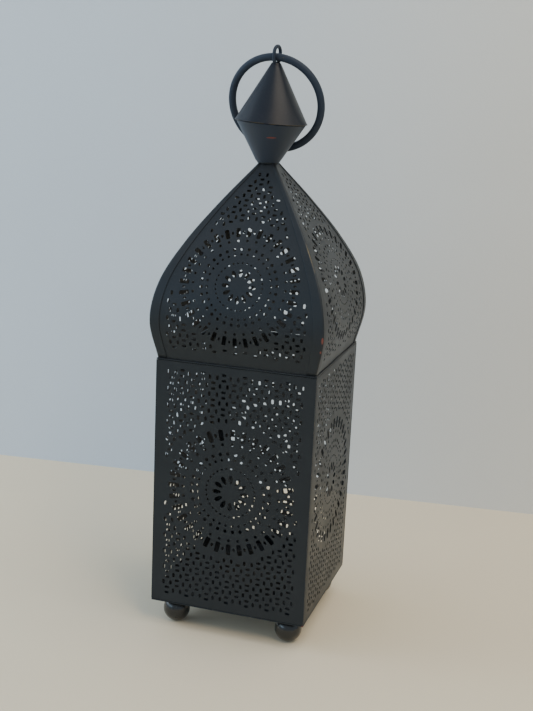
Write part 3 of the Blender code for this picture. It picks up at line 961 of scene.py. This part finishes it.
    def feet(self) -> None:
        """Four turned balls, each with a worn flat below and a flat seat under the pan."""
        pad, seat = 0.0012, 0.0020
        for node in ("foot_front_left", "foot_front_right", "foot_rear_left", "foot_rear_right"):
            low, high = node_box(node)
            radius = (high.x - low.x) / 2
            profile = [(0.0, high.z - low.z),
                       *arc((0.0, math.sqrt(radius**2 - pad**2)), radius,
                            math.degrees(math.acos(seat / radius)),
                            -math.degrees(math.acos(pad / radius)), 30), (0.0, 0.0)]
            place = Vector(((low.x + high.x) / 2, (low.y + high.y) / 2, low.z))
            bm = moved(spun(profile, 48, closed=False), Matrix.Translation(place))
            mark(bm, lambda p: 0.7 if p.z < pad else 0.0)
            self.bench.lay(f"ball_{node}", bm, GLOSS_FEET, [node], slot=Slot.GLOSS)

    def build(self) -> None:
        """Makes every piece of the body."""
        self.front()
        self.sides()
        self.seams()
        self.trim()
        self.feet()


# ------------------------------------------------------------------ dome


@dataclass
class OnionDome(Part):
    """Four bowed and pierced sheets under four folded ridge strips."""

    height: float = 0.1215
    shape: tuple[Flat, ...] = ((0.0, 0.0520), (0.0245, 0.0565), (0.0490, 0.0523),
                               (0.0730, 0.0404), (0.0970, 0.0243), (0.1215, 0.0056))
    inset: float = 0.0004
    setbacks: Flat = (0.0006, 0.0013)
    strip_thickness: float = 0.0003
    strip_leg: float = 0.0013
    strip_growth: float = 0.095
    strip_bend: float = 0.0011
    bend_steps: int = 8
    rosette_rise: float = 0.0515
    low_border: float = 0.0064
    high_border: float = 0.0060
    edge_clear: float = 0.0022
    bow_step: float = 0.0032
    wear_and_highlight_rise: float = 0.0705
    wear_and_highlight_reach: float = 0.0160
    pattern: Pattern = Pattern(Rosette(scale=0.92, punch=0.93, clear=0.0446), cell_wide=0.0067,
                               cell_high=0.0053, slot=0.0029, slot_wide=0.0017)

    def __post_init__(self) -> None:
        """Works out the dome's outline and the distance run along it."""
        self.line = smooth_line([Vector(knot) for knot in self.shape], 60)
        self.run = [0.0]
        for below, above in zip(self.line, self.line[1:]):
            self.run.append(self.run[-1] + (above - below).length)
        self.foot_level = node_box("top_collar")[1].z + SOLDER_GAP
        self.foot = min(node_box(name)[0].z for name in ("ridge_strip_front_right",
                                                         "dome_panel_front"))

    def at(self, run: float) -> tuple[Vector, Vector]:
        """A point of the outline and the direction out of it.

        Args:
            run: Distance along the outline from its foot.

        Returns:
            The point as (half width, height) and the outward unit vector, in the same axes.
        """
        run = min(max(run, 0.0), self.run[-1])
        low = min(bisect_right(self.run, run), len(self.run) - 1) - 1
        high = low + 1
        share = (run - self.run[low]) / (self.run[high] - self.run[low])
        point = self.line[low].lerp(self.line[high], share)
        along = self.line[min(high + 1, len(self.line) - 1)] - self.line[max(low - 1, 0)]
        along.normalize()
        return Vector((point.y, point.x)), Vector((along.x, -along.y))

    def _on_profile(self, run: float, depth: float) -> Vector:
        """(half width, height in the frame) of a point so far in from the outline."""
        point, out = self.at(run)
        inner = point - out * depth
        lowest = self.foot if run < 0.5 * self.bow_step else -1.0
        return Vector((inner.x, max(self.foot_level + inner.y, lowest)))

    def _fits(self, hole: Hole) -> bool:
        """Whether a hole lies clear of the ridge strips, the foot and the top."""
        low, high = hole.v - hole.reach, hole.v + hole.reach
        if low < self.low_border or high > self.run[-1] - self.high_border:
            return False
        halves = (self.at(v)[0].x for v in (low, hole.v, high))
        return all(abs(hole.u) + hole.reach <= half - self._leg(half) - self.edge_clear
                   for half in halves)

    def _leg(self, half: float) -> float:
        """A ridge strip's leg where the dome has this half width."""
        return self.strip_leg + self.strip_growth * half

    def sheets(self) -> None:
        """The four bowed sheets, laid out flat with v the distance run up the outline."""
        rows = math.ceil(self.run[-1] / self.bow_step)
        levels = [self.run[-1] * i / rows for i in range(rows + 1)]
        holes = self.pattern.holes(self.rosette_rise,
                                   self.rosette_rise + 4 * self.pattern.cell_high, 17, 26,
                                   self._fits)

        def place(u: float, v: float, w: float) -> Vector:
            """A flat point bowed to the dome's front."""
            seen = self._on_profile(v, self.inset - w)
            return Vector((u, -seen.x, seen.y))

        for facing in Facing:
            back = self.setbacks[facing.value % 2]
            edge = [(self._on_profile(v, self.inset).x - back, v) for v in levels]
            outline = edge + [(-u, v) for u, v in reversed(edge)]
            bm = PiercedSheet(outline, holes, creases_v=levels[1:-1]).bent(place)
            word = facing.name.lower()
            self.bench.lay(f"dome_sheet_{word}",
                           moved(bm, Matrix.Rotation(facing.value * QUARTER, 4, "Z")), SATIN,
                           [f"dome_panel_{word}"])

    def _strip_section(self, half: float) -> list[tuple[float, float, float]]:
        """The points across a ridge strip's section, front leg first.

        Args:
            half: The dome's half width there.

        Returns:
            (x, y, share of rubbed wear and painted highlight) for each point of the section.
        """
        leg, bend = self._leg(half), self.strip_bend
        row = [(half - leg, -half, 0.0), (half - leg + 0.0002, -half, 0.0),
               (half - bend - 0.0004, -half, 0.0)]
        # The fold's crest is marked most: rubbed wear, and a painted highlight line along the ridge.
        for i in range(self.bend_steps + 1):
            angle = QUARTER * (i / self.bend_steps - 1)
            middle = 1.0 - abs(2 * i / self.bend_steps - 1)
            row.append((half - bend + bend * math.cos(angle),
                        bend - half + bend * math.sin(angle), 0.35 + 0.65 * middle))
        return row + [(half, y - half, 0.0) for y in (bend + 0.0004, leg - 0.0002, leg)]

    def strips(self) -> None:
        """The folded strips over the four ridges, narrower towards the top."""
        columns = len(self._strip_section(self.shape[0][1]))
        for turn, word in enumerate(("front_right", "rear_right", "rear_left", "front_left")):
            bm = bmesh.new()
            layer = bm.verts.layers.float.new("wear_and_highlight")
            ops.create_grid(bm, x_segments=columns - 1, y_segments=44, size=0.5)
            for vert in bm.verts:
                column = round((vert.co.x + 0.5) * (columns - 1))
                rise = self.height * (vert.co.y + 0.5)
                x, y, wear_and_highlight = self._strip_section(self._half_at(rise))[column]
                # Rubbed wear round the chips and a painted highlight along the crest, strongest on
                # the front-right strip.
                worn = math.exp(-((rise - self.wear_and_highlight_rise) / self.wear_and_highlight_reach) ** 2)
                vert[layer] = wear_and_highlight * worn * (0.6 if turn else 1.0)
                vert.co = (x, y, self.foot_level + rise)
            ops.recalc_face_normals(bm, faces=bm.faces[:])
            if sum(face.normal.dot(Vector((1, -1, 0))) for face in bm.faces) < 0:
                ops.reverse_faces(bm, faces=bm.faces[:])
            moved(bm, Matrix.Rotation(turn * QUARTER, 4, "Z"))
            piece = self.bench.lay(f"ridge_cap_{word}", bm, SATIN_RIDGE, [f"ridge_strip_{word}"])
            wall = piece.modifiers.new("Sheet", "SOLIDIFY")
            wall.thickness = self.strip_thickness
            wall.offset = -1.0
            wall.use_even_offset = True

    def _half_at(self, rise: float) -> float:
        """The dome's half width at a height above its foot."""
        for below, above in zip(self.line, self.line[1:]):
            if rise <= above.x:
                return below.lerp(above, (rise - below.x) / (above.x - below.x)).y
        return self.line[-1].y

    def build(self) -> None:
        """Makes every piece of the dome."""
        self.sheets()
        self.strips()


# ------------------------------------------------------------------ finial and ring


@dataclass
class Finial(Part):
    """Two cones rim to rim, with the hanger wire's eye on their tip, leaning to the right."""

    neck: float = 0.0076
    neck_rise: float = 0.0010
    rim_rise: float = 0.0257
    lower_rim: float = 0.0221
    upper_rim: float = 0.0230
    tip: float = 0.0036
    tip_rise: float = 0.0608
    wire: float = 0.0011
    leg_spread: float = 0.0013
    eye: float = 0.0039
    eye_rise: float = 0.0681
    pivot_rise: float = 0.0655
    eye_turn: float = math.radians(-12.0)
    washer_rise: float = -0.0092

    def _lay(self, name: str, bm: BMesh, finish: Finish = SATIN, stands_for: Iterable[str] = (),
             slot: Slot = Slot.SATIN) -> None:
        """Sets a shape made about the finial's own axis on the dome's top, and lays it."""
        leant = Matrix.Rotation(FINIAL_LEAN, 4, "Y")
        foot = joint_place("ring_swing") - leant @ Vector((0.0, 0.0, self.pivot_rise))
        self.bench.lay(name, moved(bm, Matrix.Translation(foot) @ leant), finish, stands_for,
                       slot=slot)

    def cones(self) -> None:
        """The lower cone, and the upper one whose rim stands a little proud of it."""
        neck, wide, rim = self.neck, self.lower_rim, self.rim_rise - SOLDER_GAP
        slope = Vector((wide - neck, rim - self.neck_rise)).normalized()
        lower = spun([(neck, self.neck_rise),
                      (neck + slope.x * 0.0004, self.neck_rise + slope.y * 0.0004),
                      (wide - slope.x * 0.0005, rim - slope.y * 0.0005),
                      (wide - 0.00005, rim - 0.00012), (wide - 0.00022, rim),
                      (wide - SHEET, rim), (neck - SHEET, self.neck_rise)], 96)
        mark(lower, lambda p: 1.0 if p.z > rim - 0.0004 else 0.0)
        # The lower cone takes the copy of the cone paint with a painted bluish reflection.
        self._lay("finial_lower_cone", lower, LOWER_CONE_PAINTED_SHEEN, ["lower_cone"])
        tip, wide, low = self.tip, self.upper_rim, self.rim_rise
        slope = Vector((wide - tip, low - self.tip_rise)).normalized()
        upper = spun([(tip - 0.0002, self.tip_rise), (tip, self.tip_rise - 0.00015),
                      (wide - 0.0012 * slope.x - 0.00005, low - 0.0012 * slope.y),
                      (wide - 0.00016, low + 0.00042), (wide, low + 0.00018),
                      (wide - 0.00004, low + 0.00005), (wide - 0.00018, low),
                      (wide - SHEET, low), (tip - SHEET, self.tip_rise)], 96)
        # A painted highlight line along the rim, mixed with rubbed wear.
        mark(upper, lambda p: 1.0 if p.z < low + 0.0003 else 0.0)
        self._lay("finial_upper_cone", upper, SATIN_CONE, ["upper_cone"])

    def hanger(self) -> None:
        """The wire bent into an eye, its legs down through the finial and opened out below."""
        eye, pivot, spread, low = self.eye, self.pivot_rise, self.leg_spread, self.washer_rise
        angles = [QUARTER * (1 - i / 5) for i in range(5)]
        half = [Vector((eye * math.cos(a), self.eye_rise + eye * math.sin(a))) for a in angles]
        half += [Vector(knot) for knot in (
            (eye, self.eye_rise), (eye, pivot), (0.92 * eye, pivot - 0.0016),
            (0.66 * eye, pivot - 0.0030), (0.38 * eye, pivot - 0.0039),
            (spread, self.tip_rise - 0.0004), (spread, 0.0450), (spread, 0.0200), (spread, low),
            (1.1 * spread, low - 0.0016), (2.0 * spread, low - 0.0027), (0.0044, low - 0.0030),
            (0.0074, low - 0.0031))]
        line = [Vector((-p.x, p.y)) for p in reversed(half[1:])] + half
        across = Vector((math.sin(self.eye_turn), -math.cos(self.eye_turn), 0.0))
        points = [across * p.x + Vector((0.0, 0.0, p.y)) for p in smooth_line(line, 4)]
        bm = round_wire(points, self.wire)
        mark(bm, lambda p: 0.8 if p.z > self.eye_rise + eye else 0.0)
        self._lay("hanger_eye", bm, BLACK_IRON, ["hanger_wire"], Slot.IRON)

    def solder(self) -> None:
        """The beads of solder, painted over, round the finial's neck and at its tip."""
        neck = spun([(0.0030, -0.0008), (0.0052, -0.0009), (0.0064, -0.0004), (0.0070, 0.0003),
                     (0.0071, 0.0010), (0.0069, 0.0016), (0.0030, 0.0017)], 40)
        for vert in neck.verts:
            angle = math.atan2(vert.co.y, vert.co.x)
            swell = 1.0 + 0.02 * math.sin(3 * angle + 0.7) + 0.015 * math.sin(7 * angle)
            vert.co.xy *= swell
        self._lay("neck_solder", neck)
        tip = ((0.0010, -0.0004), (0.0034, -0.0004), (0.00345, 0.0001), (0.0031, 0.0007),
               (0.0027, 0.0012), (0.0020, 0.0015), (0.0010, 0.0016))
        self._lay("tip_solder", spun([(r, self.tip_rise + z) for r, z in tip], 40), SATIN_CONE)

    def build(self) -> None:
        """Makes every piece of the finial."""
        self.cones()
        self.hanger()
        self.solder()
        self.bench.lay("apex_washer_edged", eased("apex_washer", 0.00012), DARK_STEEL,
                       ["apex_washer"], slot=Slot.STEEL)


@dataclass
class CarryRing(Part):
    """The round ring of thick wire, resting back against the finial."""

    radius: float = 0.0295
    wire: float = 0.0024
    rest: float = math.radians(15.0)
    joint_gap: float = 0.00018

    def build(self) -> None:
        """Bends the ring, with the fine groove of its butt joint at the bottom."""
        bm = bmesh.new()
        section = ops.create_circle(
            bm, cap_ends=False, segments=20, radius=self.wire,
            matrix=Matrix.Translation((self.radius, 0.0, 0.0)) @ Matrix.Rotation(QUARTER, 4, "X"))
        edges = list({edge for vert in section["verts"] for edge in vert.link_edges})
        ops.spin(bm, geom=section["verts"] + edges, axis=(0, 0, 1), cent=(0, 0, 0),
                 angle=2 * math.pi, steps=144, use_merge=True)
        moved(cleaned(bm), Matrix.Rotation(QUARTER, 4, "X"))
        for vert in bm.verts:
            if vert.co.z < 0 and abs(vert.co.x) < 0.0004:
                middle = Vector((vert.co.x, 0.0, vert.co.z)).normalized() * self.radius
                vert.co += (middle - vert.co).normalized() * self.joint_gap
        mark(bm, lambda p: 0.9 if p.z > self.radius else 0.0)
        moved(bm, Matrix.Translation(joint_place("ring_swing"))
              @ Matrix.Rotation(FINIAL_LEAN, 4, "Y") @ Matrix.Rotation(self.rest, 4, "X")
              @ Matrix.Translation((0.0, 0.0, -self.radius)))
        self.bench.lay("carrying_ring", bm, BLACK_IRON, ["carry_ring"], Rider.RING, Slot.IRON)


# ------------------------------------------------------------------ door and inside


@dataclass
class BackDoor(Part):
    """The pierced door on the back, with its hinges, knob and turn button."""

    leaf_half: float = 0.0125
    leaf_reach: float = -0.0340
    knob: float = 0.0300
    knob_clear: float = 0.0050
    rivet: Flat = (-0.0377, 0.0040)
    pattern: Pattern = Pattern(Rosette(scale=0.86))

    def __post_init__(self) -> None:
        """Reads the door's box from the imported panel."""
        self.low, self.high = node_box("door_panel")
        self.middle = (self.low.z + self.high.z) / 2

    def _kept(self, hole: Hole) -> bool:
        """Whether a hole is clear of the hinge leaves and the knob, seen from the front."""
        near = any(abs(hole.v - self.middle - level) < self.leaf_half + hole.reach
                   for level in (-HINGE_DROP, HINGE_DROP))
        if near and hole.u - hole.reach < self.leaf_reach:
            return False
        return math.dist((hole.u, hole.v), (self.knob, self.middle)) > self.knob_clear

    def panel(self) -> None:
        """The door sheet, pierced as far as the frame's opening."""
        holes = self.pattern.holes(self.middle, self.middle, 11, 25, self._kept)
        holes.append(Hole(self.knob, self.middle, RIVET_HOLE, RIVET_HOLE))
        holes += rivet_holes(self.rivet[0], self.middle, self.rivet[1])
        sheet = PiercedSheet(rectangle(-self.high.x, self.high.x, self.low.z, self.high.z),
                             [hole.mirrored for hole in holes])
        bm = sheet.bent(lambda u, v, w: Vector((-u, self.high.y + w, v)))
        self.bench.lay("door_sheet", bm, SATIN_DOOR, ["door_panel"], Rider.DOOR)

    def hardware(self) -> None:
        """Hinge leaves and the turn button with eased edges, and small parts left as packed."""
        for level in ("lower", "upper"):
            for side, rider in (("frame", Rider.LANTERN), ("door", Rider.DOOR)):
                node = f"hinge_leaf_{side}_{level}"
                self.bench.lay(f"{node}_eased", eased(node, 0.00010), SATIN_HARDWARE, [node],
                               rider)
        self.bench.lay("turn_button_eased", mark(eased("turn_button", 0.00018), lambda p: 0.6),
                       SATIN_HARDWARE, ["turn_button"], Rider.BUTTON)
        for name in frame["nodes"]:
            if "rivet" in name or "pin_" in name or name in ("door_knob", "button_washer"):
                self.bench.repaint(name, DARK_STEEL)

    def build(self) -> None:
        """Makes every piece of the door."""
        self.panel()
        self.hardware()


@dataclass
class CandleCup(Part):
    """The low tinned cup on the floor, with a rolled rim."""

    hole: float = 0.0017
    sink: float = 0.0010
    roll: float = 0.0004
    foot_bend: float = 0.0012

    def build(self) -> None:
        """Turns the cup."""
        low, high = node_box("candle_cup")
        floor, inner, roll, bend = low.z + SHEET, high.x - SHEET, self.roll, self.foot_bend
        profile = [(self.hole + self.sink, floor), (inner - 0.0008, floor),
                   *arc((inner - 0.0008, floor + 0.0008), 0.0008, -90, 0, 4)[1:],
                   (inner, high.z - 2 * roll), *arc((high.x - roll, high.z - roll), roll, 180, 0, 8),
                   (high.x, low.z + bend), *arc((high.x - bend, low.z + bend), bend, 0, -90, 4)[1:],
                   (self.hole, low.z)]
        self.bench.lay("candle_cup_rolled", spun(profile, 64), SOOTY_TIN, ["candle_cup"],
                       slot=Slot.TIN)


# ------------------------------------------------------------------ studio


def outward(azimuth: float, elevation: float) -> Vector:
    """The direction to something at so many degrees round from the front and up."""
    a, e = math.radians(azimuth), math.radians(elevation)
    return Vector((math.sin(a) * math.cos(e), -math.cos(a) * math.cos(e), math.sin(e)))


@dataclass(frozen=True)
class Softbox:
    """One soft area light, aimed at the lantern."""

    name: str
    azimuth: float
    elevation: float
    distance: float
    wide: float
    high: float
    watts: float
    colour: Colour

    def hang(self, aim: Vector) -> None:
        """Puts the light up."""
        data = bpy.data.lights.new(self.name, "AREA")
        data.shape = "ELLIPSE"
        data.size = self.wide
        data.size_y = self.high
        data.energy = self.watts
        data.color = self.colour
        lamp = linked(bpy.data.objects.new(self.name, data))
        back = outward(self.azimuth, self.elevation)
        lamp.location = aim + back * self.distance
        lamp.rotation_mode = "QUATERNION"
        lamp.rotation_quaternion = back.to_track_quat("Z", "Y")
        lamp.visible_camera = False


@dataclass
class Studio:
    """A pale floor, a pale wall behind it, soft lights and the camera."""

    azimuth: float = 16.94
    elevation: float = 14.15
    roll: float = math.radians(2.573)
    distance: float = 0.80451
    aside: float = 0.007287
    above: float = 0.076209
    aim_level: float = 0.100891
    lens: float = 60.15
    light_level: float = 0.19
    wall_distance: float = 0.2387
    wall_turn: float = math.radians(6.11)
    plane_size: float = 3.0
    sky: Colour = (0.74, 0.87, 1.0)
    sky_strength: float = 0.66
    floor_colours: tuple[Colour, Colour] = ((0.79, 0.695, 0.530), (0.79, 0.695, 0.530))
    # The wall's left and right colours are painted light: bluish light at the left, warm light at
    # the right.
    wall_painted_light_colours: tuple[Colour, Colour] = ((0.640, 0.735, 0.850), (0.735, 0.735, 0.700))
    lights: tuple[Softbox, ...] = (
        Softbox("key", 42.0, 44.0, 1.3, 0.40, 0.40, 4.15, (1.0, 0.73, 0.38)),
        Softbox("window", -42.0, 13.0, 1.6, 1.2, 0.24, 3.4, (0.58, 0.80, 1.0)),
        Softbox("side_fill", -80.0, 24.0, 1.3, 1.1, 1.1, 8.5, (0.74, 0.87, 1.0)),
        Softbox("overhead", 80.0, 66.0, 1.5, 1.1, 1.1, 9.8, (1.0, 0.93, 0.82)),
    )

    def camera(self) -> None:
        """Sets the camera up at its place."""
        back = outward(self.azimuth, self.elevation)
        level = (-back).cross(Vector((0, 0, 1))).normalized()
        upright = level.cross(-back)
        c, s = math.cos(self.roll), math.sin(self.roll)
        right, up = c * level + s * upright, c * upright - s * level
        data = bpy.data.cameras.new("camera")
        data.lens = self.lens
        data.sensor_width = 36.0
        data.clip_start = 0.01
        data.clip_end = 20.0
        camera = linked(bpy.data.objects.new("camera", data))
        place = (back * self.distance + right * self.aside + up * self.above
                 + Vector((0.0, 0.0, self.aim_level)))
        camera.matrix_world = (Matrix.Translation(place)
                               @ Matrix((right, up, back)).transposed().to_4x4())
        bpy.context.scene.camera = camera

    def _cloth(self, name: str, colours: tuple[Colour, Colour], one_sided: bool) -> Material:
        """A pale matt surface whose colour runs from left to right; on the wall that change is
        painted light.

        Args:
            name: The material's name.
            colours: Its colours on the left and on the right.
            one_sided: Whether its back is clear.

        Returns:
            The material.
        """
        made, desk, shader = surface(name)
        desk.feed(shader, "Roughness", 0.9)
        desk.feed(shader, "Specular IOR Level", 0.15)
        # Left-to-right blend of the colours; on the wall it paints bluish light at the left and warm
        # light at the right.
        colour = desk.blend(desk.ramp(desk.part(desk.place, "X"), -0.25, 0.30), *colours)
        soft = desk.ramp(desk.noise(5.0, 3.0), 0.3, 0.7, 0.0, 0.04)
        desk.feed(shader, "Base Color", desk.blend(soft, colour, (0.30, 0.30, 0.29)))
        desk.relief(shader, desk.noise(700.0, 2.0), 0.12, 0.0008)
        if one_sided:
            behind = desk.add("ShaderNodeNewGeometry").outputs["Backfacing"]
            clear = desk.add("ShaderNodeBsdfTransparent").outputs[0]
            either = desk.add("ShaderNodeMixShader", {0: behind, 1: shader.outputs[0], 2: clear})
            desk.feed(made.node_tree.nodes["Material Output"], "Surface", either.outputs[0])
        return made

    def _plane(self, name: str, matrix: Matrix, material: Material) -> None:
        """A flat square of the set."""
        bm = bmesh.new()
        ops.create_grid(bm, x_segments=1, y_segments=1, size=self.plane_size, matrix=matrix)
        meshed(name, bm, material)

    def build(self) -> None:
        """Makes the set."""
        self._plane("floor", Matrix.Identity(4),
                    self._cloth("pale_floor", self.floor_colours, False))
        upright = (Matrix.Rotation(self.wall_turn, 4, "Z")
                   @ Matrix.Translation((0.0, self.wall_distance, 0.0))
                   @ Matrix.Rotation(QUARTER, 4, "X"))
        self._plane("wall", upright, self._cloth("pale_wall", self.wall_painted_light_colours, True))
        world = bpy.data.worlds.new("sky")
        world.use_nodes = True
        background = world.node_tree.nodes["Background"]
        background.inputs["Color"].default_value = (*self.sky, 1.0)
        background.inputs["Strength"].default_value = self.sky_strength
        bpy.context.scene.world = world
        for light in self.lights:
            light.hang(Vector((0.0, 0.0, self.light_level)))
        self.camera()


def main() -> None:
    """Builds the lantern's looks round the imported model."""
    logging.basicConfig(level=logging.INFO, format="%(message)s")
    Studio().build()
    bench = Bench()
    for part in (BoxBody, OnionDome, Finial, CarryRing, BackDoor, CandleCup):
        part(bench).build()
    LOG.info("%d new pieces", bench.count)


if __name__ == "__main__":
    main()
